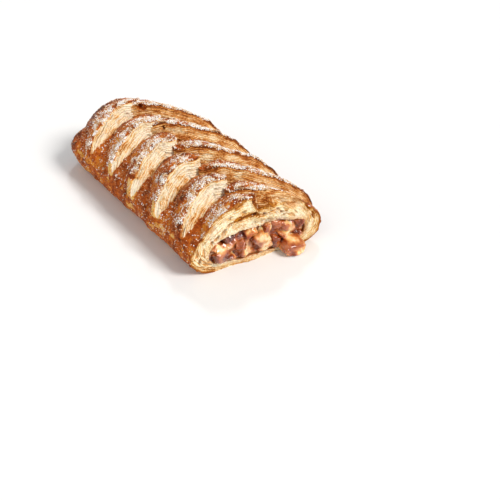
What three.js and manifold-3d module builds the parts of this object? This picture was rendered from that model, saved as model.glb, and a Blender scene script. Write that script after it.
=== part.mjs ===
// A braided apple pastry, cut across at one end so that its filling shows.
// Millimetres. X runs along the loaf towards the cut end, Y across it, +Z is up.
// The dough was baked as one piece: a filled roll whose side strips are folded over the crown.
import * as THREE from "three";
import { RoundedBoxGeometry } from "three/addons/geometries/RoundedBoxGeometry.js";
import { mergeVertices } from "three/addons/utils/BufferGeometryUtils.js";
import Module from "manifold-3d";

const wasm = await Module();
wasm.setup();

// The roll of dough under the strips.
const FAR_END = -86; // where the closed end reaches, at mid width
const CUT = 99; // where the knife went through, at mid width
const CUT_SKEW = 0.12; // how far the cut runs towards +X for each mm towards +Y
const END_SKEW = 0.28; // the same for the closed end
const END_SKEW_REACH = 70; // the closed end's skew fades out over this length
const END_ROUND = 30; // length over which the closed end rounds off
const HALF_WIDTH = 51;
const FOOT = 34; // half width of the flat base
const BELLY = 17; // height of the widest point
const ROOF = 37.5; // height of the roll's crown, under the strips
const ROLL_FULLNESS = 2.1; // 2 is an ellipse, more is boxier
const SKIN = { far: 5, half: 52, roof: 53, fullness: 2.3 }; // the strips stay inside this larger roll

// The hollow that holds the filling.
const HOLLOW = { halfWidth: 37.5, floor: 3.6, mid: 13, roof: 28, start: -66 };
const FIT_GAP = 0.3; // between the dough, the filling and each apple piece
const FACE_RECESS = 3; // the syrup's front stands this far behind the cut

// The folded strips. A crest is the raised, cut edge of a strip: its top corner on the +X side.
const STRIP_WIDTH = 38;
const STRIP_THICK = 13;
const STRIP_DROP = { left: 16, right: 19 }; // a strip's hidden edge lies this far under its crest
const EDGE_LEAN = 7; // the cut edge's lower leaves stick out this far past the crest
const LEFT_STATIONS = [-64, -31, 1, 34, 66, 98];
const RIGHT_STATIONS = [-58, -22, 17, 52, 85, 119];
const LEFT_CREST = [
  [16, -50.5, 17],
  [9, -48, 30],
  [4, -38.5, 41],
  [0, -27, 48],
  [-1, -16, 52],
  [4, -6, 51.5],
];
const RIGHT_CREST = [
  [-7, -12, 47],
  [0, 0, 52],
  [12, 13, 51.5],
  [22, 25, 48],
  [32, 38, 42],
  [41, 48, 31],
  [47, 52, 17],
];
const LEFT_REACH = [7, 6, 0, -1, 0, 4]; // how much further each left strip runs over the crown
const STRIP_BASE = { left: 0.45, right: 0.65 }; // a strip's share of its thickness where it leaves the roll
const STRIP_SEGMENTS = { along: 11, across: 4, deep: 2 };
const ROLL_SEGMENTS = { around: 36, along: 12 };

// Diced apple at the cut: centre across and up, size [along, across, up], turn, and how far it sticks out.
const APPLES = [
  { at: [-26, 12.5], size: [17, 16, 13], turn: [4, -6, 10], out: 3 },
  { at: [-17, 22.3], size: [14, 15, 7], turn: [-14, 10, 20], out: 0 },
  { at: [-9, 8.4], size: [12, 11, 8], turn: [10, 4, -8], out: 1 },
  { at: [3, 17], size: [16, 14, 15], turn: [24, 8, -12], out: 4 },
  { at: [16, 21.4], size: [14, 12, 9.5], turn: [-10, 14, 16], out: 2 },
  { at: [26, 18], size: [15, 9, 12], turn: [14, -10, -20], out: 1 },
  { at: [15, 9], size: [16, 11, 10], turn: [-22, 12, 8], out: 3 },
  { at: [32.5, 10.5], size: [13, 7, 10], turn: [6, 12, 14], out: 1 },
  { at: [25, 6.6], size: [24, 15, 8.6], turn: [0, 8, -8], out: 11 },
];
const APPLE_ROUND = 2.4;

const CRUST = new THREE.MeshStandardMaterial({ color: "#b8672c", roughness: 0.75, metalness: 0 });
const SYRUP = new THREE.MeshStandardMaterial({ color: "#9c4a20", roughness: 0.15, metalness: 0 });
const APPLE = new THREE.MeshStandardMaterial({ color: "#e0a05c", roughness: 0.3, metalness: 0 });

const clamp01 = (value) => Math.min(1, Math.max(0, value));
const smooth = (value) => clamp01(value) ** 2 * (3 - 2 * clamp01(value));
const signedPower = (value, power) => Math.sign(value) * Math.abs(value) ** power;

// Moves every vertex of a geometry to where place(x, y, z) says.
function reshape(geometry, place) {
  const position = geometry.getAttribute("position");
  for (let i = 0; i < position.count; i++) {
    position.setXYZ(i, ...place(position.getX(i), position.getY(i), position.getZ(i)));
  }
  return geometry;
}

// A closed geometry as a solid that can be joined and cut.
function solid(geometry) {
  const bare = geometry.clone();
  bare.deleteAttribute("normal");
  bare.deleteAttribute("uv");
  const merged = mergeVertices(bare, 1e-3);
  return new wasm.Manifold(
    new wasm.Mesh({
      numProp: 3,
      vertProperties: new Float32Array(merged.getAttribute("position").array),
      triVerts: new Uint32Array(merged.index.array),
    }),
  );
}

function meshOf(name, shape, material) {
  const made = shape.getMesh();
  const geometry = new THREE.BufferGeometry();
  geometry.setAttribute("position", new THREE.BufferAttribute(made.vertProperties, 3));
  geometry.setIndex(new THREE.BufferAttribute(made.triVerts, 1));
  geometry.computeVertexNormals();
  const mesh = new THREE.Mesh(geometry, material);
  mesh.name = name;
  return mesh;
}

// The roll's cross-section: a flat foot, round lower corners and a broad arch.
function rollOutline(angle, half, roof, fullness) {
  const c = Math.cos(angle);
  const s = Math.sin(angle);
  if (s < 0) return [Math.sign(c) * (FOOT + (half - FOOT) * Math.abs(c)), BELLY * (1 + s)];
  return [half * signedPower(c, 2 / fullness), BELLY + (roof - BELLY) * s ** (2 / 2.1)];
}

// The hollow's cross-section, drawn in on all sides by inset.
function hollowOutline(angle, inset) {
  const c = Math.cos(angle);
  const s = Math.sin(angle);
  const rise = s < 0 ? HOLLOW.mid - HOLLOW.floor : HOLLOW.roof - HOLLOW.mid;
  return [
    (HOLLOW.halfWidth - inset) * signedPower(c, 2 / 2.6),
    HOLLOW.mid + (rise - inset) * signedPower(s, 2 / 2.4),
  ];
}

// A closed rod along X with the given outline, rounded off at its -X end.
function rod(start, end, round, outline, middle, segments) {
  const unit = new THREE.CylinderGeometry(1, 1, 1, segments.around, segments.along);
  unit.rotateZ(-Math.PI / 2);
  return reshape(unit, (x, y, z) => {
    const along = (end - start) * (x + 0.5) ** 1.7;
    const near = clamp01((round - along) / round);
    const swell = 0.4 + 0.6 * (1 - near ** 2.4) ** (1 / 2.4);
    const [across, up] = outline(Math.atan2(z, y));
    const reach = Math.hypot(y, z) * swell;
    const atY = across * reach;
    const skew = END_SKEW * atY * clamp01(1 - along / END_SKEW_REACH);
    return [start + along + skew, atY, Math.max(0, middle + (up - middle) * reach)];
  });
}

// A flat bar bent along its crest: x runs along the crest, y towards the hidden edge, z is depth.
function strip(crest, side) {
  const curve = new THREE.CatmullRomCurve3(crest.map((point) => new THREE.Vector3(...point)));
  const { along, across, deep } = STRIP_SEGMENTS;
  const bar = new THREE.BoxGeometry(1, 1, 1, along, across, deep);
  return reshape(bar, (x, y, z) => {
    const u = x + 0.5;
    const v = y + 0.5;
    const depth = 0.5 - z;
    const here = curve.getPoint(u);
    const tangent = curve.getTangent(u);
    const out = new THREE.Vector3(0, here.y, 1.6 * (here.z - BELLY)).normalize();
    out.addScaledVector(tangent, -out.dot(tangent)).normalize();
    const inward = new THREE.Vector3().crossVectors(out, tangent);
    const fromBase = side === "left" ? u : 1 - u;
    const body = smooth(fromBase / 0.26);
    const tip = Math.sqrt(1 - clamp01((fromBase - 0.82) / 0.18) ** 2 * 0.8);
    const width = STRIP_WIDTH * (0.8 + 0.2 * body) * (0.55 + 0.45 * tip);
    const grown = STRIP_BASE[side] + (1 - STRIP_BASE[side]) * body;
    const thick = STRIP_THICK * grown * (0.6 + 0.4 * tip);
    const lean = EDGE_LEAN * body * depth * (1 - v);
    const drop = STRIP_DROP[side] * (0.3 + 0.7 * body) * v ** 1.5;
    here.addScaledVector(inward, v * width - lean);
    here.addScaledVector(out, -drop - depth * thick);
    return [here.x, here.y, here.z];
  });
}

function moved(crest, station, reach) {
  return crest.map(([x, y, z], i) => [x + station, y + (reach * i) / (crest.length - 1), z]);
}

// Everything on the +X side of the knife, set back by the given distance.
function beyondCut(back) {
  const block = new THREE.BoxGeometry(120, 300, 200);
  return solid(
    reshape(block, (x, y, z) => [x + 60 + CUT - back + CUT_SKEW * y, y, z]),
  );
}

// Takes the apple pieces' room, with the gap around them, out of a solid.
function clearOfApples(shape, pieces) {
  return pieces.reduce((rest, piece) => rest.subtract(solid(apple(piece, FIT_GAP))), shape);
}

function largestBody(shape) {
  const bodies = shape.decompose();
  return bodies.reduce((best, body) => (body.volume() > best.volume() ? body : best));
}

function roll(start, half, roof, fullness) {
  const outline = (angle) => rollOutline(angle, half, roof, fullness);
  return solid(rod(start, CUT + 20, END_ROUND, outline, BELLY, ROLL_SEGMENTS));
}

function makeDough() {
  const middle = HOLLOW.mid;
  let dough = roll(FAR_END, HALF_WIDTH, ROOF, ROLL_FULLNESS);
  LEFT_STATIONS.forEach((station, i) => {
    dough = dough.add(solid(strip(moved(LEFT_CREST, station, LEFT_REACH[i]), "left")));
  });
  RIGHT_STATIONS.forEach((station) => {
    dough = dough.add(solid(strip(moved(RIGHT_CREST, station, 0), "right")));
  });
  dough = dough.intersect(roll(FAR_END - SKIN.far, SKIN.half, SKIN.roof, SKIN.fullness));
  const hollow = rod(HOLLOW.start, CUT + 40, 20, (a) => hollowOutline(a, 0), middle, {
    around: 28,
    along: 8,
  });
  dough = dough.subtract(solid(hollow)).subtract(beyondCut(0));
  return largestBody(clearOfApples(dough, APPLES));
}

// One rounded block of apple, larger by grow on every side.
function apple({ at, size, turn, out }, grow) {
  const [along, across, up] = size.map((length) => length + 2 * grow);
  const block = new RoundedBoxGeometry(along, across, up, 2, APPLE_ROUND + grow);
  const angles = turn.map((degrees) => THREE.MathUtils.degToRad(degrees));
  block.applyMatrix4(new THREE.Matrix4().makeRotationFromEuler(new THREE.Euler(...angles)));
  const front = CUT + CUT_SKEW * at[0] + out;
  return block.translate(front - size[0] / 2, at[0], at[1]);
}

function makeFilling() {
  const inner = rod(HOLLOW.start + 1, CUT + 40, 20, (a) => hollowOutline(a, FIT_GAP), HOLLOW.mid, {
    around: 28,
    along: 8,
  });
  return largestBody(clearOfApples(solid(inner).subtract(beyondCut(FACE_RECESS)), APPLES));
}

// Each apple piece gives way to the ones listed before it.
function makeApple(index) {
  return largestBody(clearOfApples(solid(apple(APPLES[index], 0)), APPLES.slice(0, index)));
}

const pastry = new THREE.Group();
pastry.add(meshOf("pastry", makeDough(), CRUST));
pastry.add(meshOf("apple_filling", makeFilling(), SYRUP));
APPLES.forEach((piece, i) => {
  pastry.add(meshOf(`apple_piece_${i + 1}`, makeApple(i), APPLE));
});

// The origin is under the middle of the whole, on the surface it stands on.
const bounds = new THREE.Box3().setFromObject(pastry);
const centre = bounds.getCenter(new THREE.Vector3());
pastry.position.set(-centre.x, -centre.y, -bounds.min.z);

export default pastry;
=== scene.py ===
# %% [markdown]
# # A braided apple danish, cut open
# A danish braid is a sheet of laminated dough with filling down its middle. Its two sides are
# cut into strips, and the strips are folded over the filling by turns, left over right. It is
# baked as one piece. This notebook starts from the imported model, which fixes every size.
# Then it models the dough in one mesh, and the syrup, the apple and the sugar as pieces of
# their own, because they are made of other things and catch the light in other ways.

import math

import bpy
import numpy as np
from mathutils.kdtree import KDTree
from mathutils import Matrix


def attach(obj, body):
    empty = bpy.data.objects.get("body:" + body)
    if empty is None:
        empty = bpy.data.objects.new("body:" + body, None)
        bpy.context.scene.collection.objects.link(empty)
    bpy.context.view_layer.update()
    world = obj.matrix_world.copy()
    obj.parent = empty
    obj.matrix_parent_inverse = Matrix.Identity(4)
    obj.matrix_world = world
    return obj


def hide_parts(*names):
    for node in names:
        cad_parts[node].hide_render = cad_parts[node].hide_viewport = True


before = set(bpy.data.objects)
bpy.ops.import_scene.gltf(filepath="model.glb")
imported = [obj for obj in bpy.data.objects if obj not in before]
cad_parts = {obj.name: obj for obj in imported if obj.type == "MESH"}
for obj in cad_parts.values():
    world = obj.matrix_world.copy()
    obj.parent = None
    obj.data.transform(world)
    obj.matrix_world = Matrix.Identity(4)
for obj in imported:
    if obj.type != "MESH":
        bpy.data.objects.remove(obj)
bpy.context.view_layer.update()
print("nodes:", sorted(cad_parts))

# %% [markdown]
# ## Sizes
# These are the driving sizes of the model, in millimetres. X runs along the loaf to the cut
# end, Y runs across it, and Z is up. The loaf is a roll of dough with strips over it, and a
# thin outer skin trims the strips to one smooth outline. Each strip is placed by a station
# along the loaf, and one crest, a list of points, gives the raised edge for a whole side.

# %% The sizes of the roll, the skin and the hollow
MM = 0.001
FAR_END = -86  # the closed end of the loaf, at mid width
ROLL_PAST_END = 4
CUT = 99  # the cut end, at mid width
CUT_SKEW = 0.12  # millimetres along for each millimetre across
END_SKEW = 0.28
END_SKEW_REACH = 70
END_ROUND = 30
HALF_WIDTH = 51
FOOT = 34  # half the width that stands on the plate
BELLY = 17  # the height of the widest place
ROOF = 37.5
ROLL_FULLNESS = 2.1
SKIN_PAST_END = 5
SKIN_HALF = 52
SKIN_ROOF = 53
SKIN_FULLNESS = 2.3
SKIN_LIFT = 1.3
CROWN = 51  # anything higher is pressed down by CROWN_PRESS
CROWN_PRESS = 0.45
HOLLOW_HALF = 37.5
HOLLOW_FLOOR = 3.6
HOLLOW_MID = 13
HOLLOW_ROOF = 28
HOLLOW_START = -66

# %% The sizes of the strips
STRIP_WIDTH = 38
STRIP_THICK = 13
STRIP_DROP = {"left": 21, "right": 22}  # how far the hidden edge lies under the crest
EDGE_LEAN = 7
LEFT_STATIONS = [-64, -31, 1, 34, 66, 98]
LEFT_REACH = [7, 6, 0, -1, 0, 4]
RIGHT_STATIONS = [-58, -22, 17, 52, 85, 119]
LEFT_CREST = [
    (16, -50.5, 17), (9, -48, 30), (4, -38.5, 41), (0, -27, 48), (-1, -16, 52), (4, -6, 51.5),
]
RIGHT_CREST = [
    (-7, -12, 47), (0, 0, 52), (12, 13, 51.5), (22, 25, 48), (32, 38, 42), (41, 48, 31),
    (47, 52, 17),
]
STRIP_BASE = {"left": 0.45, "right": 0.65}  # share of the thickness left at the base
BASE_SHARE = 0.26  # share of a strip's length that is its thin base
TIP_START, TIP_SHARE = 0.82, 0.18  # where the tip starts, and its share of the length
LEAF_STAND = {"left": 1.15, "right": 0.7}  # how strongly the leaves of a cut edge stand out
LEAF = 1.25  # thickness of one leaf
STRIP_SLICES = (58, 26, 46)  # cuts along, across and through the bar


def points_of(piece):
    """The places of a piece's points, in millimetres."""
    flat = np.empty(len(piece.data.vertices) * 3, dtype=np.float32)
    piece.data.vertices.foreach_get("co", flat)
    return flat.reshape(-1, 3).astype(float) / MM


dough_points = points_of(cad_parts["pastry"])
SHIFT = CUT - (dough_points[:, 0] - CUT_SKEW * dough_points[:, 1]).max()
print("the packed loaf is moved back by", round(SHIFT, 2), "mm")

# %% [markdown]
# ## Small helpers
# Two helpers do most of the work. One writes new places into a mesh, the other gives smooth
# random heights, the kind that Blender's cloud textures give, so that a surface can be made
# uneven in steps that are known in millimetres. Numbers that the materials read later, such
# as how brown a place is, are stored on the points of the mesh as attributes. Painting them
# by hand would do too, but numbers that come from the shape stay right when it changes.

# %% Helpers for places, attributes and unevenness
def place_points(piece, points):
    """Writes places in millimetres into a piece's mesh, in metres."""
    piece.data.vertices.foreach_set("co", (points * MM).astype(np.float32).ravel())
    piece.data.update()


def store(piece, **values):
    """Stores one number per point under each name, and marks the points as known."""
    for name, value in {**values, "known": 1}.items():
        layer = piece.data.attributes.get(name) or piece.data.attributes.new(name, "FLOAT", "POINT")
        full = np.broadcast_to(np.asarray(value, dtype=np.float32), len(piece.data.vertices))
        layer.data.foreach_set("value", np.ascontiguousarray(full))


def stored(piece, name):
    """Reads one number per point."""
    value = np.empty(len(piece.data.vertices), dtype=np.float32)
    piece.data.attributes[name].data.foreach_get("value", value)
    return value.astype(float)


def store_dough(piece, toast, **others):
    """Stores every number that the dough's material reads; those not given are 0."""
    plain = {"sugar": 0, "face": 0, "gap": 0, "leaf": 0, "cut": 0, "wet": 0}
    store(piece, toast=toast, **{**plain, **others})


def edge_ends(piece):
    """The numbers of the two points of every edge."""
    ends = np.empty(len(piece.data.edges) * 2, dtype=np.int32)
    piece.data.edges.foreach_get("vertices", ends)
    return ends.reshape(-1, 2)


def facing_of(piece):
    """The outward direction at every point."""
    facing = np.empty(len(piece.data.vertices) * 3, dtype=np.float32)
    piece.data.vertices.foreach_get("normal", facing)
    return facing.reshape(-1, 3).astype(float)


def ease(value):
    """0 to 1 with a soft start and end."""
    share = np.clip(value, 0, 1)
    return share * share * (3 - 2 * share)


def noise(points, size, seed):
    """Smooth random heights between -1 and 1 that change over about the given size."""
    table = np.random.default_rng(seed).uniform(-1, 1, 4096)
    scaled = points / np.asarray(size, dtype=float) + 100
    cell = np.floor(scaled).astype(np.int64)
    part = ease(scaled - cell)
    total = np.zeros(len(points))
    for corner in range(8):
        step = np.array([corner & 1, corner >> 1 & 1, corner >> 2 & 1])
        at = cell + step
        key = (at[:, 0] * 73856093 ^ at[:, 1] * 19349663 ^ at[:, 2] * 83492791) & 4095
        total += table[key] * np.prod(np.where(step, part, 1 - part), axis=1)
    return total


def flat_noise(a, b, seed):
    """The same kind of heights over two measures, such as along and deep."""
    return noise(np.stack([a, b, np.zeros_like(a)], axis=1), 1, seed)


def only(*pieces):
    """Selects these pieces alone and makes the first one active."""
    bpy.ops.object.select_all(action="DESELECT")
    for piece in pieces:
        piece.select_set(True)
    bpy.context.view_layer.objects.active = pieces[0]


def add(operator, **values):
    """Adds a primitive with nothing else selected, because operators act on all that is."""
    bpy.ops.object.select_all(action="DESELECT")
    operator(**values)
    return bpy.context.object


def split_along(piece, axis, cuts):
    """Cuts a block into slices across one axis, by subdividing the edges that run along it."""
    mesh = piece.data
    at, ends = points_of(piece), edge_ends(piece)
    run = np.abs(at[ends[:, 0]] - at[ends[:, 1]])
    only(piece)
    bpy.context.tool_settings.mesh_select_mode = (False, True, False)
    mesh.vertices.foreach_set("select", np.zeros(len(mesh.vertices), dtype=bool))
    mesh.polygons.foreach_set("select", np.zeros(len(mesh.polygons), dtype=bool))
    mesh.edges.foreach_set("select", run[:, axis] > 0.9 * run.max(axis=1))
    bpy.ops.object.mode_set(mode="EDIT")
    bpy.ops.mesh.subdivide(number_cuts=cuts)
    bpy.ops.object.mode_set(mode="OBJECT")


def add_block(name, cuts):
    """A block one metre each way around the origin, sliced finely along each axis."""
    block = add(bpy.ops.mesh.primitive_cube_add, size=1)
    block.name = name
    for axis, count in enumerate(cuts):
        split_along(block, axis, count)
    return block


def combine(piece, other, how):
    """Joins another piece to this one, or cuts it away, and removes the other one."""
    change = piece.modifiers.new(how.lower(), "BOOLEAN")
    change.operation = how
    change.solver = "MANIFOLD"
    change.object = other
    only(piece)
    bpy.ops.object.modifier_apply(modifier=change.name)
    bpy.data.objects.remove(other)


# %% [markdown]
# ## The roll
# Under the strips lies the roll of dough: a flat foot, round sides, a broad arch and a closed
# far end. Lofting a few sections would do, but a cylinder along X already has the right
# faces. Its rings are pushed out to the outline of the section, and the rings near the far
# end shrink to a dome. The crust is then made uneven, because a baked crust blisters and
# flakes. The same function makes the outer skin later on.

# %% Model the roll
def roll_outline(half, roof, fullness):
    """The outline of a roll of this half width and height; a larger fullness is boxier."""

    def outline(angle):
        c, s = np.cos(angle), np.sin(angle)
        low = np.sign(c) * (FOOT + (half - FOOT) * np.abs(c))
        high = half * np.sign(c) * np.abs(c) ** (2 / fullness)
        arch = BELLY + (roof - BELLY) * np.abs(s) ** (2 / 2.1)
        return np.where(s < 0, low, high), np.where(s < 0, BELLY * (1 + s), arch)

    return outline


def crust_bumps(points, seed):
    """How far the crust stands out: blisters, smaller lumps and the steps of lifted flakes."""
    lumps = 0.8 * noise(points, 11, seed) + 0.6 * noise(points, 4.2, seed + 1)
    flakes = noise(points, (7, 7, 3.5), seed + 2) * 2
    steps = 0.34 * (np.floor(flakes) + ease((flakes - np.floor(flakes)) * 5 - 2))
    return lumps + steps + 0.3 * noise(points, 1.7, seed + 3)


def add_rod(name, around, slices):
    """A rod along X, one metre long and two across, with many rings."""
    rod = add(
        bpy.ops.mesh.primitive_cylinder_add,
        vertices=around, radius=1, depth=1, end_fill_type="NGON",
    )
    rod.name = name
    rod.rotation_euler = (0, math.pi / 2, 0)
    bpy.ops.object.transform_apply(location=False, rotation=True, scale=False)
    for count in slices:
        split_along(rod, 0, count)
    return rod


def rod_places(rod, start, end, rounding, outline, middle, tip):
    """Where the rod's points go, with their outward directions."""
    unit = points_of(rod) * MM
    along = (end - start) * np.clip(unit[:, 0] + 0.5, 0, 1) ** 1.15
    near = np.clip((rounding - along) / rounding, 0, 1)
    swell = tip + (1 - tip) * (1 - near**2.4) ** (1 / 2.4)
    angle = np.arctan2(unit[:, 2], unit[:, 1])
    across, up = outline(angle)
    y = across * swell
    z = np.maximum(0, middle + (up - middle) * swell)
    x = start + along + END_SKEW * y * np.clip(1 - along / END_SKEW_REACH, 0, 1)
    outward = np.stack([-near, across / HALF_WIDTH, (up - middle) / (ROOF - middle)], axis=1)
    outward /= np.linalg.norm(outward, axis=1)[:, None]
    return np.stack([x, y, z], axis=1), outward


def crusty_roll(name, start, outline, lift, seed):
    """A closed roll with a baked crust; lift raises its upper half a little."""
    piece = add_rod(name, 200, (12, 11))
    places, outward = rod_places(piece, start, CUT + 20, END_ROUND, outline, BELLY, 0.02)
    off_floor = ease(places[:, 2] / 6)
    bumps = crust_bumps(places, seed)
    raised = lift * ease((places[:, 2] - BELLY) / 15)
    places += outward * (bumps * off_floor + raised)[:, None]
    places[:, 2] = np.maximum(places[:, 2], 0)
    place_points(piece, places)
    sugar = 0.06 * off_floor * ease((places[:, 2] - 4) / 10)
    store_dough(piece, 0.56 + 0.12 * bumps, sugar=sugar)
    return piece


outline = roll_outline(HALF_WIDTH, ROOF, ROLL_FULLNESS)
roll = crusty_roll("roll", FAR_END - ROLL_PAST_END, outline, 0, 11)
print("roll:", len(roll.data.polygons), "faces")

# %% [markdown]
# ## The strips
# A strip is a bar of laminated dough that leaves the side of the loaf, runs over the crown
# and ends in a blunt tip. Its cut edge faces the cut end of the loaf and has swollen open
# into leaves, and its other edge is hidden under the strip before it. A finely sliced block
# is bent along the crest. A curve modifier could bend it too, but it can't lean the edge,
# thin the base and round the tip at the same time. The leaves are real relief: each leaf
# stands out by its own amount, and a groove parts it from the next. The left strips have
# pale faces, and the right ones, tucked under them, are coloured more golden: partly their
# own deeper bake, partly painted shade.

# %% Bend one block into a strip
def along_crest(crest, share):
    """Places and directions at the given shares of a smooth line through the crest's points."""
    p = np.array(crest, dtype=float)
    p = np.vstack([2 * p[0] - p[1], p, 2 * p[-1] - p[-2]])
    s = share * (len(crest) - 1)
    i = np.clip(s.astype(int), 0, len(crest) - 2)
    t = (s - i)[:, None]
    a, b, c, d = p[i], p[i + 1], p[i + 2], p[i + 3]
    bend, twist = 2 * a - 5 * b + 4 * c - d, 3 * b - a - 3 * c + d
    place = b + 0.5 * ((c - a) * t + bend * t**2 + twist * t**3)
    way = (c - a) + 2 * bend * t + 3 * twist * t**2
    return place, way / np.linalg.norm(way, axis=1)[:, None]


def leaves(depth, along, seed):
    """Relief of a cut edge: how far each leaf stands out, and how deep in a groove a place is."""
    sway = 0.5 * flat_noise(along / 13, depth / 9, seed)
    sway += 0.18 * flat_noise(along / 3.5, depth / 3, seed + 1)
    count = depth / LEAF + sway
    index = np.floor(count)
    part = count - index
    own = flat_noise(along / 12, index * 7.31, seed + 2)
    ragged = flat_noise(along / 2.2, index * 3.77, seed + 3)
    groove = np.abs(2 * part - 1) ** 5
    return 0.95 * own + 0.4 * ragged + 0.6 - 1.05 * groove, groove, index


def make_strip(name, crest, side, seed):
    """One strip, with its attributes."""
    bar = add_block(name, STRIP_SLICES)
    unit = points_of(bar) * MM
    u, v, depth = unit[:, 0] + 0.5, (unit[:, 1] + 0.5) ** 1.3, 0.5 - unit[:, 2]
    here, way = along_crest(crest, u)
    out = np.stack([np.zeros(len(u)), here[:, 1], 1.6 * (here[:, 2] - BELLY)], axis=1)
    out /= np.linalg.norm(out, axis=1)[:, None]
    out -= way * (out * way).sum(axis=1)[:, None]
    out /= np.linalg.norm(out, axis=1)[:, None]
    inward = np.cross(out, way)
    from_base = u if side == "left" else 1 - u
    body = ease(from_base / BASE_SHARE)
    end = np.clip((from_base - TIP_START) / TIP_SHARE, 0, 1)
    tip = np.sqrt(1 - 0.8 * end**2)
    width = STRIP_WIDTH * (0.8 + 0.2 * body) * (0.55 + 0.45 * tip)
    thick = STRIP_THICK * (STRIP_BASE[side] + (1 - STRIP_BASE[side]) * body) * (0.6 + 0.4 * tip)
    lean = EDGE_LEAN * body * depth * (1 - v)
    drop = STRIP_DROP[side] * (0.3 + 0.7 * body) * v**1.5
    length = np.linalg.norm(np.diff(np.array(crest), axis=0), axis=1).sum()
    along, deep, across = u * length, depth * thick, v * width

    edge = v < 1e-6
    cap = from_base > 1 - 1e-6
    top = depth < 1e-6
    stand, groove, index = leaves(deep, np.where(edge, along, along + across), seed)
    stand = stand * body * LEAF_STAND[side] + 0.2
    round_top = 1.1 * np.clip(1 - across / 2.2, 0, 1) ** 2
    round_edge = 0.9 * np.clip(1 - deep / 1.8, 0, 1) ** 2
    round_tip = 6 * (1 - np.sqrt(1 - np.clip((from_base - 0.86) / 0.14, 0, 1) ** 2 * 0.96))
    bumps = crust_bumps(here + across[:, None] * inward, seed + 5)
    up = -drop - deep - round_top * (depth < 0.2) + bumps * (1 - depth)
    side_shift = across - lean + round_edge * edge + round_tip * (1 - v) - stand * edge
    places = here + inward * side_shift[:, None] + out * up[:, None]
    forward = way if side == "left" else -way
    places += forward * (stand * cap * 0.8)[:, None]
    place_points(bar, places)

    near_crest = np.exp(-((across / 9.5) ** 2))
    own_brown = flat_noise(index * 5.7, along / 9, seed + 6)
    face = np.clip(edge.astype(float) + cap, 0, 1)
    top_toast = 0.5 + 0.17 * bumps + 0.24 * np.exp(-((across / 2.2) ** 2)) + 0.1 * (1 - body)
    scorched = flat_noise(along / 5, deep / 4, seed + 7)
    if side == "left":
        face_toast = 0.06 + 0.2 * own_brown + 0.12 * scorched + 0.5 * np.exp(-deep / 0.6)
        face_toast += 0.06 * ease((0.7 - from_base) / 0.5) - 0.16 * ease((from_base - 0.5) / 0.3)
        face_toast += 0.3 * ease((deep - 4 - 6 * ease((from_base - 0.4) / 0.4)) / 7)
    else:
        groove = groove * 0.45
        # The right strips' cut edges are coloured more golden than the left ones': partly their own
        # deeper bake, partly painted shade.
        face_toast = 0.39 + 0.14 * own_brown + 0.14 * scorched + 0.55 * np.exp(-deep / 1.3)
        face_toast += 0.12 * ease((deep - 6) / 5)
    patch = 0.3 + 0.7 * ease((from_base - 0.1) / 0.35)
    store_dough(
        bar,
        np.where(face > 0, face_toast, top_toast),
        sugar=np.where(top, near_crest * patch * (1 - 0.5 * end), 0),
        face=face, gap=groove * face, leaf=deep,
    )
    return bar


def moved(crest, station, reach):
    """The crest's points at a strip's own station, reaching a little further over the crown."""
    last = len(crest) - 1
    return [(x + station, y + reach * i / last, z) for i, (x, y, z) in enumerate(crest)]


# %% Join the strips to the roll and trim them with the skin
dough = roll
for number, (station, reach) in enumerate(zip(LEFT_STATIONS, LEFT_REACH)):
    crest = moved(LEFT_CREST, station, reach)
    strip = make_strip(f"left_{number}", crest, "left", 100 + 20 * number)
    if number == len(LEFT_STATIONS) - 1:  # more sugar stuck to the strip beside the cut
        store(strip, sugar=np.minimum(stored(strip, "sugar") ** 0.5, 1))
    combine(dough, strip, "UNION")
for number, station in enumerate(RIGHT_STATIONS):
    crest = moved(RIGHT_CREST, station, 0)
    strip = make_strip(f"right_{number}", crest, "right", 300 + 20 * number)
    combine(dough, strip, "UNION")
outline = roll_outline(SKIN_HALF, SKIN_ROOF, SKIN_FULLNESS)
skin = crusty_roll("skin", FAR_END - SKIN_PAST_END, outline, SKIN_LIFT, 31)
combine(dough, skin, "INTERSECT")
print("braid:", len(dough.data.polygons), "faces")

# %% [markdown]
# ## Dark pockets beside the tips
# Where a left strip ends, the next right strip dips under it and leaves a small dark pocket.
# An uneven ball is cut away at each of these places, which is quicker than folding the
# strips so exactly that the pockets open by themselves.

# %% Open the pockets
POCKET = np.array([4.6, 2.4, 2.4])  # half its size each way
POCKET_FROM_TIP = np.array([4, 0, -2.5])
for number, (station, reach) in enumerate(zip(LEFT_STATIONS[:-1], LEFT_REACH)):
    tip = np.array(moved(LEFT_CREST, station, reach)[-1])
    pocket = add(bpy.ops.mesh.primitive_uv_sphere_add, segments=40, ring_count=24, radius=1)
    ball = points_of(pocket) * MM
    swell = 1 + 0.3 * noise(ball, 0.7, 500 + number)
    place_points(pocket, tip + POCKET_FROM_TIP + ball * swell[:, None] * POCKET)
    store_dough(pocket, 0.55)
    combine(dough, pocket, "DIFFERENCE")
print("pockets:", len(LEFT_STATIONS) - 1)

# %% [markdown]
# ## The hollow and the knife cut
# The filling lies in a hollow, and the knife has opened it. Both are cut away with finely
# divided cutters, because a cut through laminated dough is not flat: layers stand out, and
# steam has left flattened bubbles between them. The cutter carries that relief, so the cut
# face gets it as real geometry.

# %% Cut the hollow
def hollow_outline(inset):
    """The outline of the hollow, drawn in on all sides by inset."""

    def outline(angle):
        c, s = np.cos(angle), np.sin(angle)
        rise = np.where(s < 0, HOLLOW_MID - HOLLOW_FLOOR, HOLLOW_ROOF - HOLLOW_MID) - inset
        across = (HOLLOW_HALF - inset) * np.sign(c) * np.abs(c) ** (2 / 2.6)
        return across, HOLLOW_MID + rise * np.sign(s) * np.abs(s) ** (2 / 2.4)

    return outline


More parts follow.
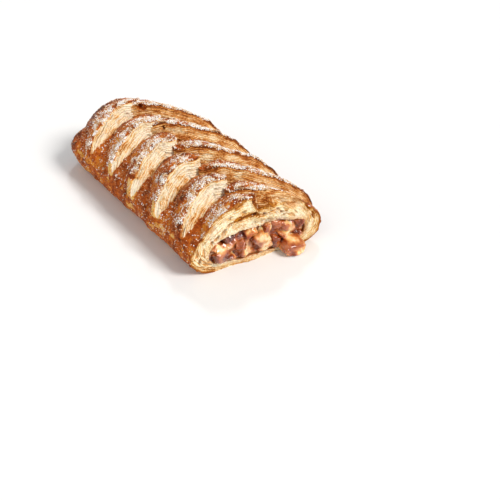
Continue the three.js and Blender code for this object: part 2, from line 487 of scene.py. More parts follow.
hollow = add_rod("hollow", 120, (10, 9))
places, outward = rod_places(
    hollow, HOLLOW_START, CUT + 40, 20, hollow_outline(0), HOLLOW_MID, 0.1
)
uneven = 1.3 * noise(places, 9, 41) + 0.7 * noise(places, 4, 42)
places += outward * np.where(places[:, 2] > 6, uneven, 0)[:, None]
place_points(hollow, places)
store_dough(hollow, 0.15, wet=1)
combine(dough, hollow, "DIFFERENCE")
print("hollow loaf:", len(dough.data.polygons), "faces")

# %% [markdown]
# The relief of the cut is a height for each place on it. The layers of dough run round the
# loaf, so the heights follow two measures: the way round, and the depth under the crust.
# Bubbles are lens-shaped gaps between layers. The fifteen largest are ovals of their own,
# because the eye picks them out. At the top a tongue of dough stands out, and beside it the
# strip under it is bared.

# %% Relief of the cut face
def skin_depth(y, z):
    """Roughly how deep under the crust a place on the cut face lies, in millimetres."""
    rise = np.where(z > BELLY, z - BELLY, (BELLY - z) * 1.35)
    reach = np.where(z > BELLY, 52 - BELLY, BELLY * 1.35)
    level = ((np.abs(y) / 52) ** 2.3 + (rise / reach) ** 2.2) ** (1 / 2.3)
    return 40 * (1 - level)


def bubbles(way, deep, thick, length, amount, seed):
    """Lens-shaped gaps between layers: 1 inside a gap, 0 on a layer."""
    count = deep / thick
    index = np.floor(count)
    chance = flat_noise(way / length, index * 7.3, seed)
    half = 0.5 * ease((chance + amount) / 0.55)
    return ease((half - np.abs(count - index - 0.5)) / 0.16)


BUBBLES = [
    (-15, 37.5, 2.6, 1.25, 34), (-20.5, 34.5, 2.3, 1.15, 38), (-25.5, 31, 1.9, 0.9, 44),
    (-30, 28, 1.7, 0.75, 50), (-34, 24.5, 1.5, 0.7, 58), (-10, 42, 1.6, 0.8, 26),
    (-5, 37.4, 3.1, 0.7, 18), (4, 37.6, 3.0, 0.95, 10), (11.5, 38.6, 2.6, 0.8, 6),
    (-21, 40.3, 1.3, 0.5, 36), (18, 36, 2.2, 0.7, -12), (40, 30, 2.4, 0.9, -58),
    (44.5, 22, 2.4, 0.8, -78), (-44, 12, 1.9, 0.6, 96), (-38, 4.2, 3.4, 0.5, 4),
]


def oval_bubbles(y, z):
    """The largest bubbles, each an oval that lies along the layers: 1 inside, 0 outside."""
    inside = np.zeros_like(y)
    for across, up, long, high, tilt in BUBBLES:
        c, s = math.cos(math.radians(tilt)), math.sin(math.radians(tilt))
        along, over = (y - across) * c + (z - up) * s, (z - up) * c - (y - across) * s
        inside = np.maximum(inside, ease((1.5 - np.hypot(along / long, over / high)) / 0.45))
    return inside


TONGUE_Y = [-8, -2, 8, 17, 22, 26, 60]
TONGUE_Z = [55, 44.5, 45, 42.5, 38, 34, 34]


def crumb(y, z):
    """Relief of the cut, how open it is, its depth, the bared face and the tongue's brown lip."""
    deep = skin_depth(y, z)
    way = 34 * np.arctan2(z - 16, y)
    still = np.zeros_like(y)
    flat = np.stack([way, deep, still], axis=1)
    deep = deep + 1.6 * noise(flat, (13, 6, 1), 50) + 0.5 * noise(flat, (4, 3, 1), 57)
    way = way + 2 * noise(flat, (6, 6, 1), 58)
    small = (0.7 + 0.3 * ease((-28 - y) / 6)) * bubbles(way, deep, 1.3, 4.5, -0.12, 51)
    wobble = 0.6 * noise(flat, (3, 3, 1), 61)
    large = oval_bubbles(y + wobble, z + 0.6 * wobble)
    bent = np.stack([way, deep, still], axis=1)
    ragged = noise(bent, (2.4, 0.8, 1), 56)
    layers = noise(bent, (14, 0.9, 1), 54)
    open_part = np.maximum(0.75 * small, large)
    relief = 0.9 * noise(flat, 9, 55) + 0.45 * layers + 0.4 * ragged - 0.65 * small - 3.6 * large
    border = np.interp(y, TONGUE_Y, TONGUE_Z) + 0.9 * noise(flat, (4, 4, 1), 59)
    bared = ease((z - border) / 1.4 + 0.5) * ease((y + 5) / 3) * ease((36 - y) / 6)
    tongue = ease((y + 6) / 12) * ease((25 - y) / 3) * ease((z - 31) / 3) * (1 - bared)
    relief = relief * (1 - bared) + tongue * (4 + 1.5 * noise(flat, 3.5, 60))
    relief -= bared * (4.6 + 0.25 * np.sin(deep * 5) + 0.4 * layers)
    lip = tongue * np.exp(-(((border - z) / 1.6) ** 2))
    return relief, open_part * (1 - bared), deep, bared, lip


def distance_on_cut(piece, wet, y, z):
    """How far a place on the cut is from the crust, or from the wet wall of the hollow."""
    at = points_of(piece)
    near_cut = np.abs(at[:, 0] - CUT - CUT_SKEW * at[:, 1]) < (3 if wet else 1.2)
    wall = at[((stored(piece, "wet") > 0.5) == wet) & near_cut]
    tree = KDTree(len(wall))
    for number, (_, across, up) in enumerate(wall):
        tree.insert((0, across, up), number)
    tree.balance()
    return np.array([tree.find((0, across, up))[2] for across, up in zip(y, z)])


# %% Cut the end with the knife
KNIFE_WIDTH, KNIFE_HEIGHT, KNIFE_MIDDLE, KNIFE_DEPTH = 116, 62, 27, 120
KNIFE_ROWS, KNIFE_COLUMNS = 145, 260  # finer than this takes the dough past 200,000 triangles
FAR_FROM_EDGE = 9.0
knife = add(
    bpy.ops.mesh.primitive_grid_add,
    x_subdivisions=KNIFE_ROWS, y_subdivisions=KNIFE_COLUMNS, size=1,
)
knife.name = "knife"
bpy.ops.object.mode_set(mode="EDIT")
bpy.ops.mesh.select_all(action="SELECT")
bpy.ops.mesh.extrude_region_move(TRANSFORM_OT_translate={"value": (0, 0, 1)})
bpy.ops.mesh.select_all(action="SELECT")
bpy.ops.mesh.normals_make_consistent(inside=False)
bpy.ops.object.mode_set(mode="OBJECT")
unit = points_of(knife) * MM
front = unit[:, 2] < 0.5
y, z = unit[:, 1] * KNIFE_WIDTH, KNIFE_MIDDLE - unit[:, 0] * KNIFE_HEIGHT
relief, open_part, deep, bared, lip = crumb(y, z)
rim = np.full(len(y), FAR_FROM_EDGE)
rim[front] = distance_on_cut(dough, False, y[front], z[front])
soaked = np.full(len(y), FAR_FROM_EDGE)
soaked[front] = distance_on_cut(dough, True, y[front], z[front])
relief *= np.maximum(ease(rim / 2.2 + 0.25), bared)
x = np.where(front, CUT + CUT_SKEW * y + relief - 0.4, CUT + KNIFE_DEPTH)
place_points(knife, np.stack([x, y, z], axis=1))
crumb_toast = 0.08 + 0.75 * np.exp(-rim / 0.8) + 0.28 * np.exp(-rim / 4)
crumb_toast += 0.16 * ease((y - 18) / 12) + 0.36 * lip + 0.34 * ease((4.5 - z) / 3)
crumb_toast += 0.16 * ease((-34 - y) / 8) * ease((26 - z) / 8)
store_dough(
    knife,
    crumb_toast * (1 - bared) + bared * (0.3 + 0.4 * np.exp(-rim / 1.5)),
    face=bared, gap=open_part, leaf=deep, cut=1 - bared,
    wet=0.75 * np.exp(-soaked / 1.3) * (0.4 + 0.6 * ease((y + 20) / 30)),
)
combine(dough, knife, "DIFFERENCE")
print("cut loaf:", len(dough.data.polygons), "faces")

# %% [markdown]
# ## Finishing the dough
# Joining and cutting makes new points that carry no numbers, so those take the mean of their
# neighbours'. The crown is pressed a little, the far end is browned, pale flakes are added
# low down, and some strips get a pale flap at their lower end. Last, each point is told how
# far it lies under the smoothed surface, so that the material can paint shade into the
# creases and brown the ridges.

# %% Helpers for the finished dough
def settle(piece):
    """Moves a finished piece from the loaf's own measure to the row's, and smooths its shading."""
    place_points(piece, points_of(piece) - np.array([SHIFT, 0, 0]))
    only(piece)
    bpy.ops.object.shade_smooth_by_angle(angle=math.radians(50))


def both_ways(piece):
    """Every edge twice, once from each end: the points a, and their neighbours b."""
    ends = edge_ends(piece)
    return np.concatenate([ends[:, 0], ends[:, 1]]), np.concatenate([ends[:, 1], ends[:, 0]])


def hollowness(piece, rounds):
    """How far each point lies under the smoothed surface, in millimetres; ridges are negative."""
    at = points_of(piece)
    a, b = both_ways(piece)
    neighbours = np.maximum(np.bincount(a, minlength=len(at)), 1)
    smooth = at.copy()
    for _ in range(rounds):
        for axis in range(3):
            total = np.bincount(a, weights=smooth[b, axis], minlength=len(at))
            smooth[:, axis] = 0.4 * smooth[:, axis] + 0.6 * total / neighbours
    return ((smooth - at) * facing_of(piece)).sum(axis=1)


def fill_unknown(piece, names):
    """Gives points that the cutting made the mean of their neighbours' numbers."""
    a, b = both_ways(piece)
    count = len(piece.data.vertices)
    known = (stored(piece, "known") > 0.99).astype(float)
    print("points made by cutting:", int(count - known.sum()), "of", count)
    values = {name: stored(piece, name) for name in names}
    for _ in range(4):
        weight = np.bincount(a, weights=known[b], minlength=count)
        lacking = (known < 1) & (weight > 0)
        for value in values.values():
            total = np.bincount(a, weights=value[b] * known[b], minlength=count)
            value[lacking] = total[lacking] / weight[lacking]
        known[lacking] = 1
    store(piece, **values)


# %% Flaps, crown, browning and creases
FLAPS = [(1, 3.0), (2, 4.2), (3, 3.6)]  # which left strip, and half the flap's width
FLAP_HEIGHT = 28
DARK_END = 30  # how far the dark end reaches along the loaf
dough.name = "braided_dough"
places = points_of(dough)
flap = np.zeros(len(places))
for number, size in FLAPS:
    above = places[:, 2] - FLAP_HEIGHT
    along = places[:, 0] - LEFT_STATIONS[number] - 8 + 0.5 * above
    away = np.maximum(np.abs(along) / size, np.abs(above) / (1.3 * size))
    flap = np.maximum(flap, ease((1.1 - away) / 0.2) * (places[:, 1] < -30))
places[:, 1] -= 0.5 * flap
places[:, 2] -= CROWN_PRESS * np.maximum(places[:, 2] - CROWN, 0)
place_points(dough, places)
settle(dough)
fill_unknown(dough, ("toast", "sugar", "face", "gap", "leaf", "cut", "wet"))
bared_toast, bared_sugar = stored(dough, "toast") - 0.75 * flap, stored(dough, "sugar") * (1 - flap)
store(dough, toast=bared_toast, sugar=bared_sugar)
at = points_of(dough)
far = ease((FAR_END + DARK_END - SHIFT - at[:, 0]) / DARK_END)
flakes = ease((noise(at, (5, 5, 3), 97) - 0.42) / 0.08) * ease((26 - at[:, 2]) / 5)
crusty = (1 - stored(dough, "face")) * (1 - stored(dough, "cut"))
store(dough, toast=stored(dough, "toast") + crusty * (0.16 * far - 0.4 * flakes))
# The crease depth feeds painted shade in the hollows and the browning of the ridges.
deep_in = hollowness(dough, 40)
store(dough, crease=np.clip(deep_in, -1.5, 2.5))
print("creases:", round(float(deep_in.min()), 2), "to", round(float(deep_in.max()), 2), "mm")

# %% [markdown]
# ## Apple and syrup
# The apple is diced and cooked soft. Each dice starts as a finely sliced block. It is rounded
# a little, and nine flats are pressed into it where the knife and its neighbours left them.
# Every dice draws its own flats, so no two are alike. Smaller broken pieces made the same way
# fill the gaps and become one mesh. The syrup fills the rest of the hollow, and its front is
# lumpy, because apple lies under its skin too.

# %% Model the diced apple
# Each line: place across and up, size, turn in degrees, how far it stands out, how brown.
APPLES = [
    ((-26, 12.5), (17, 16, 13), (4, -6, 10), 3, 0.35),
    ((-17, 22.3), (14, 15, 7), (-14, 10, 20), 0, 0.55),
    ((-9, 8.4), (12, 11, 8), (10, 4, -8), 1, 0.1),
    ((3, 17), (16, 14, 15), (24, 8, -12), 4, 0.3),
    ((16, 21.4), (14, 12, 9.5), (-10, 14, 16), 2, 0.55),
    ((26, 18), (15, 9, 12), (14, -10, -20), 1, 0.35),
    ((15, 9), (16, 11, 10), (-22, 12, 8), 3, 0.5),
    ((32.5, 10.5), (13, 7, 10), (6, 12, 14), 1, 0.4),
    ((25, 6.6), (24, 15, 8.6), (0, 8, -8), 11, 0.35),
]
SWELL = np.array([1.08, 1.16, 1.14])
FLATS = 9


def turned(points, degrees):
    """Points turned about X, then Y, then Z as three.js turns them."""
    a, b, c = (math.radians(d) for d in degrees)
    about_x = np.array([[1, 0, 0], [0, math.cos(a), -math.sin(a)], [0, math.sin(a), math.cos(a)]])
    about_y = np.array([[math.cos(b), 0, math.sin(b)], [0, 1, 0], [-math.sin(b), 0, math.cos(b)]])
    about_z = np.array([[math.cos(c), -math.sin(c), 0], [math.sin(c), math.cos(c), 0], [0, 0, 1]])
    return points @ (about_x @ about_y @ about_z).T


def make_apple(number, at, size, turn, out, cooked):
    """One dice of apple: a soft block with flats where the knife went and slumped corners."""
    piece = add_block(f"apple_{number}", (17, 17, 17))
    unit = points_of(piece) * MM * 2
    ball = unit / np.linalg.norm(unit, axis=1)[:, None]
    block = unit * (1 - 0.3 * (np.abs(unit) ** 4).sum(axis=1)[:, None] / 3)
    shape = (0.74 * block / 0.9 + 0.26 * ball) * np.array(size) / 2
    draw = np.random.default_rng(600 + number)
    for _ in range(FLATS):
        way = draw.normal(size=3)
        way /= np.linalg.norm(way)
        height = shape @ way
        over = np.maximum(height - height.max() * draw.uniform(0.6, 0.85), 0)
        shape -= 0.93 * over[:, None] * way
    dents = 1.0 * noise(shape, 7, 60 + number) + 0.6 * noise(shape, 2.6, 80 + number)
    shape += ball * dents[:, None]
    shape += ball * (0.35 * noise(shape, (2.4, 0.9, 0.9), 90 + number))[:, None]
    shape *= SWELL * np.array(size) / 2 / np.abs(shape).max(axis=0)
    front = CUT + CUT_SKEW * at[0] + out
    places = turned(shape, turn) + np.array([front - size[0] / 2, *at])
    place_points(piece, places)
    # Painted highlight: each dice is made paler on its side towards +Y, the side that faces the key
    # light; the noise is the apple's own uneven browning.
    browning_and_lit_side = cooked + 0.4 * noise(places, 6, 95) + 0.3 * noise(places, 2.5, 96) - 0.3 * ball[:, 1]
    store(piece, cooked=np.clip(browning_and_lit_side, 0, 1))
    settle(piece)
    return piece


apples = [make_apple(i + 1, *values) for i, values in enumerate(APPLES)]
print("apple pieces:", len(apples))

# %% Add the smaller broken pieces between them
BITS = [
    ((-20, 8), (9, 8, 7), (20, 30, 10), 1.5, 0.35),
    ((-12.5, 15.5), (9, 8, 8), (50, 10, 30), 2.5, 0.4),
    ((-5, 23), (9, 11, 6), (10, 20, 0), 1.5, 0.25),
    ((8, 23.5), (9, 10, 6), (30, 0, 20), 2, 0.35),
    ((22, 13), (10, 8, 8), (15, 40, 10), 3.5, 0.2),
    ((33.5, 18.5), (9, 7, 8), (0, 20, 45), 1.5, 0.3),
    ((5.5, 8), (9, 10, 6), (35, 15, 0), 2, 0.3),
    ((-32, 18), (8, 8, 7), (25, 5, 15), 0.5, 0.5),
]
bits = [make_apple(20 + i, *values) for i, values in enumerate(BITS)]
only(*bits)
bpy.ops.object.join()
bits = bpy.context.object
bits.name = "apple_bits"
print("broken pieces:", len(BITS))

# %% Model the syrup
SYRUP_BEHIND_CUT = 2.2
syrup = add_block("syrup_filling", (40, 90, 40))
unit = points_of(syrup) * MM * 2
flat = unit[:, 1:]
largest = np.abs(flat).max(axis=1)
length = np.linalg.norm(flat, axis=1)
disc = flat * np.where(length > 0, largest / np.maximum(length, 1e-9), 0)[:, None]
angle = np.arctan2(disc[:, 1], disc[:, 0])
reach = np.linalg.norm(disc, axis=1)
across, up = hollow_outline(0.6)(angle)
y = across * reach
z = HOLLOW_MID + (up - HOLLOW_MID) * reach
share = (unit[:, 0] + 1) / 2
start, front = HOLLOW_START + 4, CUT + CUT_SKEW * y - SYRUP_BEHIND_CUT
x = start + (front - start) * share**0.6
spots = np.stack([y, z, x * 0], axis=1)
lumps = 3.6 * noise(spots, 8, 70) + 0.9 * noise(spots, 3.2, 71) + 0.3 * noise(spots, 1.2, 72)
dark_gap = 7 * np.exp(-(((y + 25) / 7) ** 2) - ((z - 25) / 4) ** 2)
x += (lumps - dark_gap) * ease((share - 0.9) / 0.1) * ease((1 - reach) * 5)
place_points(syrup, np.stack([x, y, z], axis=1))
store(syrup, depth_in=np.clip(0.5 + lumps / 6, 0, 1))
settle(syrup)
print("syrup:", len(syrup.data.polygons), "faces")

# %% [markdown]
# ## Materials
# One material covers all the dough, because it is one baked thing. Its colour runs from
# cream through gold to brown with the stored toast, and the cut edges and the crumb are
# paler. The syrup and the apple are wet and let light in. A few short helpers place one node
# each, so that a material reads like a sum.

# %% Colours and node helpers
def colour(code):
    """A colour from its web code, in the linear values that shaders use."""
    parts = [int(code[i : i + 2], 16) / 255 for i in (1, 3, 5)]
    return tuple(p / 12.92 if p <= 0.04045 else ((p + 0.055) / 1.055) ** 2.4 for p in parts) + (1,)


def new_material(name, **values):
    """A material with its shader's constant values set; _ in a name stands for a space."""
    material = bpy.data.materials.new(name)
    material.use_nodes = True
    nodes = material.node_tree.nodes
    for socket, value in values.items():
        nodes["Principled BSDF"].inputs[socket.replace("_", " ")].default_value = value
    return material, nodes, material.node_tree.links, nodes["Principled BSDF"].inputs


def ramp(nodes, links, value, stops):
    """A colour ramp fed by value."""
    node = nodes.new("ShaderNodeValToRGB")
    while len(node.color_ramp.elements) < len(stops):
        node.color_ramp.elements.new(0.5)
    for element, (at, code) in zip(node.color_ramp.elements, stops):
        element.position = at
        element.color = colour(code)
    links.new(value, node.inputs["Fac"])
    return node.outputs["Color"]


def calculate(nodes, links, operation, a, b):
    """One math node; a and b are sockets or numbers."""
    node = nodes.new("ShaderNodeMath")
    node.operation = operation
    for socket, value in zip(node.inputs, (a, b)):
        if isinstance(value, (int, float)):
            socket.default_value = value
        else:
            links.new(value, socket)
    return node.outputs[0]


def mixed(nodes, links, share, a, b):
    """A colour mix; a and b are sockets or web codes."""
    node = nodes.new("ShaderNodeMix")
    node.data_type = "RGBA"
    for socket, value in ((node.inputs[0], share), (node.inputs[6], a), (node.inputs[7], b)):
        if isinstance(value, str):
            socket.default_value = colour(value)
        elif isinstance(value, (int, float)):
            socket.default_value = value
        else:
            links.new(value, socket)
    return node.outputs[2]


def attribute(nodes, name):
    """The stored number of that name."""
    node = nodes.new("ShaderNodeAttribute")
    node.attribute_name = name
    return node.outputs["Fac"]


# %% [markdown]
# Nothing in food is one flat colour. Every finish here uses one effect: cloudy patches, a
# finer grain and the small bumps that both raise. It is built once as a node group and
# placed in each material with its own scales. Image textures would need their places on the
# mesh worked out first, and noise on the object's own coordinates does not.

# %% The effect that every finish shares
def make_uneven_group():
    """The group, with its named inputs and outputs."""
    group = bpy.data.node_groups.new("uneven_surface", "ShaderNodeTree")
    for name in ("Cloud Scale", "Grain Scale", "Bump Depth"):
        group.interface.new_socket(name, in_out="INPUT", socket_type="NodeSocketFloat")
    group.interface.new_socket("Cloud", in_out="OUTPUT", socket_type="NodeSocketFloat")
    group.interface.new_socket("Grain", in_out="OUTPUT", socket_type="NodeSocketFloat")
    group.interface.new_socket("Normal", in_out="OUTPUT", socket_type="NodeSocketVector")
    given, results = group.nodes.new("NodeGroupInput"), group.nodes.new("NodeGroupOutput")
    where = group.nodes.new("ShaderNodeTexCoord")
    patches = []
    for name in ("Cloud Scale", "Grain Scale"):
        pattern = group.nodes.new("ShaderNodeTexNoise")
        pattern.inputs["Detail"].default_value = 3
        group.links.new(where.outputs["Object"], pattern.inputs["Vector"])
        group.links.new(given.outputs[name], pattern.inputs["Scale"])
        centred = calculate(group.nodes, group.links, "SUBTRACT", pattern.outputs["Fac"], 0.5)
        patches.append(centred)
        group.links.new(centred, results.inputs[name.split()[0]])
    bump = group.nodes.new("ShaderNodeBump")
    bump.inputs["Strength"].default_value = 1
    both = calculate(group.nodes, group.links, "ADD", *patches)
    group.links.new(both, bump.inputs["Height"])
    group.links.new(given.outputs["Bump Depth"], bump.inputs["Distance"])
    group.links.new(bump.outputs["Normal"], results.inputs["Normal"])
    return group


uneven_group = make_uneven_group()


def uneven(nodes, cloud, grain, depth):
    """Places the uneven_surface group with its own scales and bump depth in metres."""
    node = nodes.new("ShaderNodeGroup")
    node.node_tree = uneven_group
    node.inputs["Cloud Scale"].default_value = cloud
    node.inputs["Grain Scale"].default_value = grain
    node.inputs["Bump Depth"].default_value = depth
    return node.outputs["Cloud"], node.outputs["Grain"], node.outputs["Normal"]


# %% The dough's material
dough_look, nodes, links, shader = new_material(
    "baked_dough", Specular_IOR_Level=0.12, Subsurface_Weight=0.08,
    Subsurface_Radius=(1.0, 0.5, 0.25), Subsurface_Scale=0.001,
)
toast, face, gap, leaf, cut, wet, sweet, crease = (
    attribute(nodes, n) for n in ("toast", "face", "gap", "leaf", "cut", "wet", "sugar", "crease")
)


def plus(a, b):
    """a + b for the material in hand."""
    return calculate(nodes, links, "ADD", a, b)


def times(a, b):
    """a times b for the material in hand."""
    return calculate(nodes, links, "MULTIPLY", a, b)


cloud, grain, normal = uneven(nodes, 170, 760, 0.0017)
patches, _, _ = uneven(nodes, 75, 1500, 0.0001)
brown = plus(plus(toast, times(cloud, 0.8)), plus(times(grain, 0.7), times(patches, 0.5)))
# The crease depth makes hollows browner, which is painted shade, and ridges browner, as a crust
# bakes darker on its edges.
hollow_only = calculate(nodes, links, "MAXIMUM", crease, 0)
ridge_only = calculate(nodes, links, "MINIMUM", crease, 0)
brown = plus(brown, plus(times(hollow_only, 0.1), times(ridge_only, -0.12)))
crust = ramp(nodes, links, brown, [
    (0.0, "#f4c878"), (0.28, "#e0902e"), (0.5, "#c46018"), (0.7, "#98420c"), (0.95, "#562206"),
])
melted = times(sweet, plus(grain, 0.75))
crust = mixed(nodes, links, times(melted, 0.3), crust, "#f0c48c")
lines = calculate(nodes, links, "SINE", plus(times(leaf, 6.5), times(cloud, 8.0)), 0)
layered = plus(brown, times(plus(lines, 0.2), plus(times(cut, 0.02), 0.19)))
pale = ramp(nodes, links, layered, [
    (0.0, "#fff4dc"), (0.24, "#fbe2b4"), (0.48, "#e0a154"), (0.74, "#b05c20"), (0.95, "#70340c"),
])
# Painted shade: the grooves between the leaves of a cut edge are coloured amber.
pale = mixed(nodes, links, times(gap, 0.6), pale, "#d08a3c")
crumb_colour = ramp(nodes, links, layered, [
    (0.0, "#fff6de"), (0.3, "#fdebc0"), (0.54, "#e6b060"), (0.8, "#9c5618"),
])
# Painted shade: the insides of the bubbles in the crumb are coloured amber.
crumb_colour = mixed(nodes, links, gap, crumb_colour, "#d68a2c")
base = mixed(nodes, links, face, crust, pale)
base = mixed(nodes, links, cut, base, crumb_colour)
base = mixed(nodes, links, wet, base, "#c07a48")
# Painted shade: creases are darkened towards a deep brown, less on the cut face and on the strips'
# cut edges.
crease_shade_share = plus(1, plus(times(cut, -0.75), times(face, -0.3)))
painted_crease_shade = times(times(calculate(nodes, links, "MINIMUM", hollow_only, 1.5), 0.26), crease_shade_share)
base = mixed(nodes, links, painted_crease_shade, base, "#7a3a10")
links.new(base, shader["Base Color"])
rough = plus(plus(times(grain, 0.5), times(gap, 0.35)), plus(times(wet, -0.2), 0.5))
links.new(rough, shader["Roughness"])
links.new(normal, shader["Normal"])
dough.data.materials.clear()
dough.data.materials.append(dough_look)

# %% The apple's and the syrup's materials
apple_look, nodes, links, shader = new_material(
    "cooked_apple", Roughness=0.2, Coat_Weight=1.0, Coat_Roughness=0.04,
    Subsurface_Weight=0.55, Subsurface_Radius=(1.0, 0.5, 0.25), Subsurface_Scale=0.003,
)
# The stored cooked number holds each dice's browning and its painted highlight on the +Y side.
cooked = attribute(nodes, "cooked")
cloud, grain, normal = uneven(nodes, 130, 420, 0.0007)
links.new(ramp(nodes, links, plus(plus(cooked, times(cloud, 0.9)), times(grain, 0.3)), [
    (0.0, "#f8d8a6"), (0.13, "#e6aa66"), (0.34, "#c06c32"), (0.62, "#944014"), (0.95, "#602208"),
]), shader["Base Color"])
links.new(normal, shader["Normal"])
for piece in [*apples, bits]:
    piece.data.materials.append(apple_look)

syrup_look, nodes, links, shader = new_material(
    "apple_syrup", Roughness=0.16, Coat_Weight=1.0, Coat_Roughness=0.03,
    Subsurface_Weight=0.5, Subsurface_Radius=(1.0, 0.35, 0.15), Subsurface_Scale=0.003,
)
cloud, _, normal = uneven(nodes, 150, 520, 0.0008)
links.new(ramp(nodes, links, plus(attribute(nodes, "depth_in"), times(cloud, 0.8)), [
    (0.1, "#6a240a"), (0.35, "#984216"), (0.6, "#bc6834"), (0.9, "#e6b07c"),
]), shader["Base Color"])
links.new(normal, shader["Normal"])
syrup.data.materials.append(syrup_look)

# %% [markdown]
# ## Sugar
# Coarse sugar is scattered before baking and sticks where the dough is highest, in clumps.
# Finer crystals lie over all of the crust, and those half melted in the oven and are amber. A
# particle system could scatter both, but a geometry node tree is applied like any modifier
# and leaves plain mesh. It spreads copies of one small cube, turned and sized at random,
# and more of them where the stored mask is high.

# %% The tree that scatters
def scatter(name, target, crystal, mask, per_square_metre, seed, smallest, largest):
    """Copies of one small piece over a target, as one mesh."""
    tree = bpy.data.node_groups.new(name, "GeometryNodeTree")
    tree.interface.new_socket("Geometry", in_out="INPUT", socket_type="NodeSocketGeometry")
    tree.interface.new_socket("Geometry", in_out="OUTPUT", socket_type="NodeSocketGeometry")
    make, join = tree.nodes.new, tree.links.new
    start, finish = make("NodeGroupInput"), make("NodeGroupOutput")
    spread = make("GeometryNodeDistributePointsOnFaces")
    spread.inputs["Seed"].default_value = seed
    named = make("GeometryNodeInputNamedAttribute")
    named.data_type = "FLOAT"
    named.inputs["Name"].default_value = mask
    density = make("ShaderNodeMath")
    density.operation = "MULTIPLY"
    density.inputs[1].default_value = per_square_metre
    turn, size = make("FunctionNodeRandomValue"), make("FunctionNodeRandomValue")
    turn.data_type = size.data_type = "FLOAT_VECTOR"
    turn.inputs["Max"].default_value = (6.28,) * 3
    size.inputs["Min"].default_value = (smallest,) * 3
    size.inputs["Max"].default_value = (largest,) * 3
    size.inputs["Seed"].default_value = seed + 1
    source = make("GeometryNodeObjectInfo")
    source.inputs["Object"].default_value = crystal
    copies = make("GeometryNodeInstanceOnPoints")
    real = make("GeometryNodeRealizeInstances")
    join(start.outputs[0], spread.inputs["Mesh"])
    join(named.outputs["Attribute"], density.inputs[0])
    join(density.outputs[0], spread.inputs["Density"])
    join(spread.outputs["Points"], copies.inputs["Points"])
    join(source.outputs["Geometry"], copies.inputs["Instance"])
    join(turn.outputs["Value"], copies.inputs["Rotation"])
    join(size.outputs["Value"], copies.inputs["Scale"])
    join(copies.outputs["Instances"], real.inputs["Geometry"])
    join(real.outputs["Geometry"], finish.inputs[0])
    piece = target.copy()
    piece.data = target.data.copy()
    piece.name = name
    bpy.context.scene.collection.objects.link(piece)
    change = piece.modifiers.new(name, "NODES")
    change.node_group = tree
    only(piece)
    bpy.ops.object.modifier_apply(modifier=change.name)
    piece.data.materials.clear()
    return piece


# %% Model a crystal and scatter both kinds of sugar
COARSE_PER_M2, FINE_PER_M2 = 2.4e6, 4.0e5
crystal = add(bpy.ops.mesh.primitive_cube_add, size=MM)
crystal.name = "sugar_crystal"
upward = facing_of(dough)[:, 2]
at = points_of(dough)
sweetness = np.clip(stored(dough, "sugar"), 0, 1)
clumps = ease((noise(at, 5, 90) + 0.6 * noise(at, 2, 91) + 0.2 + 0.5 * sweetness) / 0.9)
store(dough, sugar=sweetness * clumps * ease((upward + 0.3) / 0.7))
sugar = scatter("coarse_sugar", dough, crystal, "sugar", COARSE_PER_M2, 5, 0.35, 0.95)
bare = np.clip(stored(dough, "face") + stored(dough, "cut") + stored(dough, "wet"), 0, 1)
patchy = ease((noise(at, 9, 92) + 0.5 * noise(at, 3, 93) + 0.75) / 1.1)
off_plate = ease((at[:, 2] - 2) / 5) * ease((upward + 0.5) / 0.5)
store(dough, fine_sugar=(1 - bare) * patchy * off_plate)
fine_sugar = scatter("fine_sugar", dough, crystal, "fine_sugar", FINE_PER_M2, 8, 0.3, 0.7)
bpy.data.objects.remove(crystal)
for piece in (sugar, fine_sugar):
    print(piece.name, len(piece.data.polygons) // 6, "crystals")

# %% The sugar's materials
SUGARS = [
    (sugar, "coarse_sugar", [(0.3, "#cd9058"), (0.44, "#ecca9e"), (0.56, "#ffffff")], {
        "Roughness": 0.25, "Subsurface_Weight": 0.3,
        "Subsurface_Radius": (1, 0.85, 0.7), "Subsurface_Scale": 0.0012,
    }),
    (fine_sugar, "half_melted_sugar", [(0.36, "#a65c24"), (0.52, "#cd9058"), (0.66, "#f5dfc4")], {
        "Roughness": 0.2, "Coat_Weight": 0.5, "Coat_Roughness": 0.1,
    }),
]
for piece, name, stops, values in SUGARS:
    look, nodes, links, shader = new_material(name, **values)
    cloud, grain, _ = uneven(nodes, 260, 900, 0.0001)
    links.new(ramp(nodes, links, plus(plus(cloud, grain), 0.5), stops), shader["Base Color"])
    piece.data.materials.append(look)
print("materials:", [m.name for m in bpy.data.materials if m.users])

# %% [markdown]
# ## The frame, the floor and the light
# Every piece rides on the loaf's one body, and the imported solids that the dough, the syrup
# and the dice take the place of are hidden. The floor is plain and pale. Area lights would leave
# it brighter near the loaf than far away, so the lights are suns with a wide angle: a soft
# one from the cut end shows the layers, a wider one fills the near side, and a weak, sharper
# one from behind makes wet places glint. The sky lights the shadows gently, and the camera
# sees it as white.

# %% Ride on the frame
for piece, slot in [
    (dough, "crust"), (sugar, "crust"), (fine_sugar, "crust"), (syrup, "syrup"),
    *((piece, "apple") for piece in [*apples, bits]),
]:
    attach(piece, "root")
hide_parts("pastry")
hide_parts("apple_filling")
for number, piece in enumerate(apples, start=1):
    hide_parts(f"apple_piece_{number}")

# %% The floor and the lights
floor = add(bpy.ops.mesh.primitive_plane_add, size=60)
floor.name = "floor"
floor_look = new_material("pale_floor", Base_Color=(0.86, 0.875, 0.9, 1), Roughness=0.6)[0]
floor.data.materials.append(floor_look)


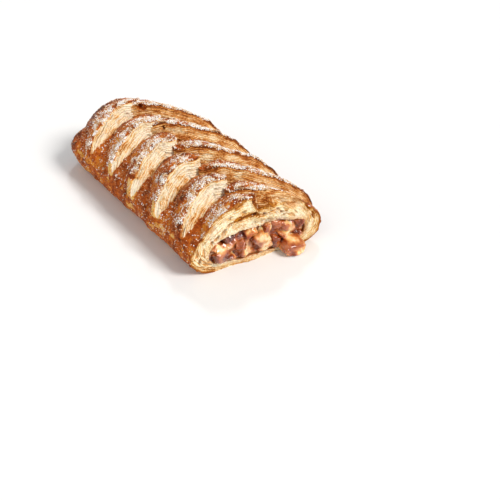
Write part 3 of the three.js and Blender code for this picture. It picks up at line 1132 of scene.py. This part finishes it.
def add_light(name, place, spread, power, tint):
    """A soft light so far away that the whole floor gets the same; place gives its direction."""
    bpy.ops.object.light_add(type="SUN", location=place)
    light = bpy.context.object
    light.name = name
    light.data.angle = math.radians(spread)
    light.data.energy = power
    light.data.color = tint
    x, y, z = place
    light.rotation_euler = (math.atan2(math.hypot(x, y), z), 0, math.atan2(y, x) + math.pi / 2)


add_light("key_light", (0.95, 0.5, 1.0), 22, 2.85, (1, 0.96, 0.9))
add_light("fill_light", (0.1, -1.1, 0.8), 60, 0.8, (1, 0.9, 0.78))
add_light("glint_light", (-0.6, 0.5, 0.75), 8, 0.5, (1, 1, 1))
world = bpy.data.worlds.new("studio")
world.use_nodes = True
seen = world.node_tree.nodes.new("ShaderNodeLightPath")
strength = world.node_tree.nodes.new("ShaderNodeMapRange")
strength.inputs["To Min"].default_value = 0.36  # what the loaf gets
strength.inputs["To Max"].default_value = 1  # what the camera sees
world.node_tree.links.new(seen.outputs["Is Camera Ray"], strength.inputs["Value"])
back_light = world.node_tree.nodes["Background"]
back_light.inputs["Color"].default_value = (1, 1, 1, 1)
world.node_tree.links.new(strength.outputs["Result"], back_light.inputs["Strength"])
bpy.context.scene.world = world
bpy.context.scene.view_settings.view_transform = "Standard"

# %% The camera
AZIMUTH, ELEVATION = math.radians(54.85), math.radians(36.55)
DISTANCE = 0.822  # metres
LENS = 79.2  # on a sensor 36 mm wide
MIDDLE_HEIGHT = 0.0208
OFF_CENTRE = (0.06283, -0.07205)  # to the right and up, in shares of the distance
back = np.array([
    math.sin(AZIMUTH) * math.cos(ELEVATION), -math.cos(AZIMUTH) * math.cos(ELEVATION),
    math.sin(ELEVATION),
])
right = np.array([math.cos(AZIMUTH), math.sin(AZIMUTH), 0])
above = np.cross(back, right)
middle = np.array([-SHIFT * MM, 0, MIDDLE_HEIGHT])
eye = middle + DISTANCE * (OFF_CENTRE[0] * right + OFF_CENTRE[1] * above + back)
bpy.ops.object.camera_add(location=eye, rotation=(math.pi / 2 - ELEVATION, 0, AZIMUTH))
camera = bpy.context.object
camera.data.sensor_width = 36
camera.data.lens = LENS
bpy.context.scene.camera = camera
print("camera at", [round(float(c), 3) for c in eye])
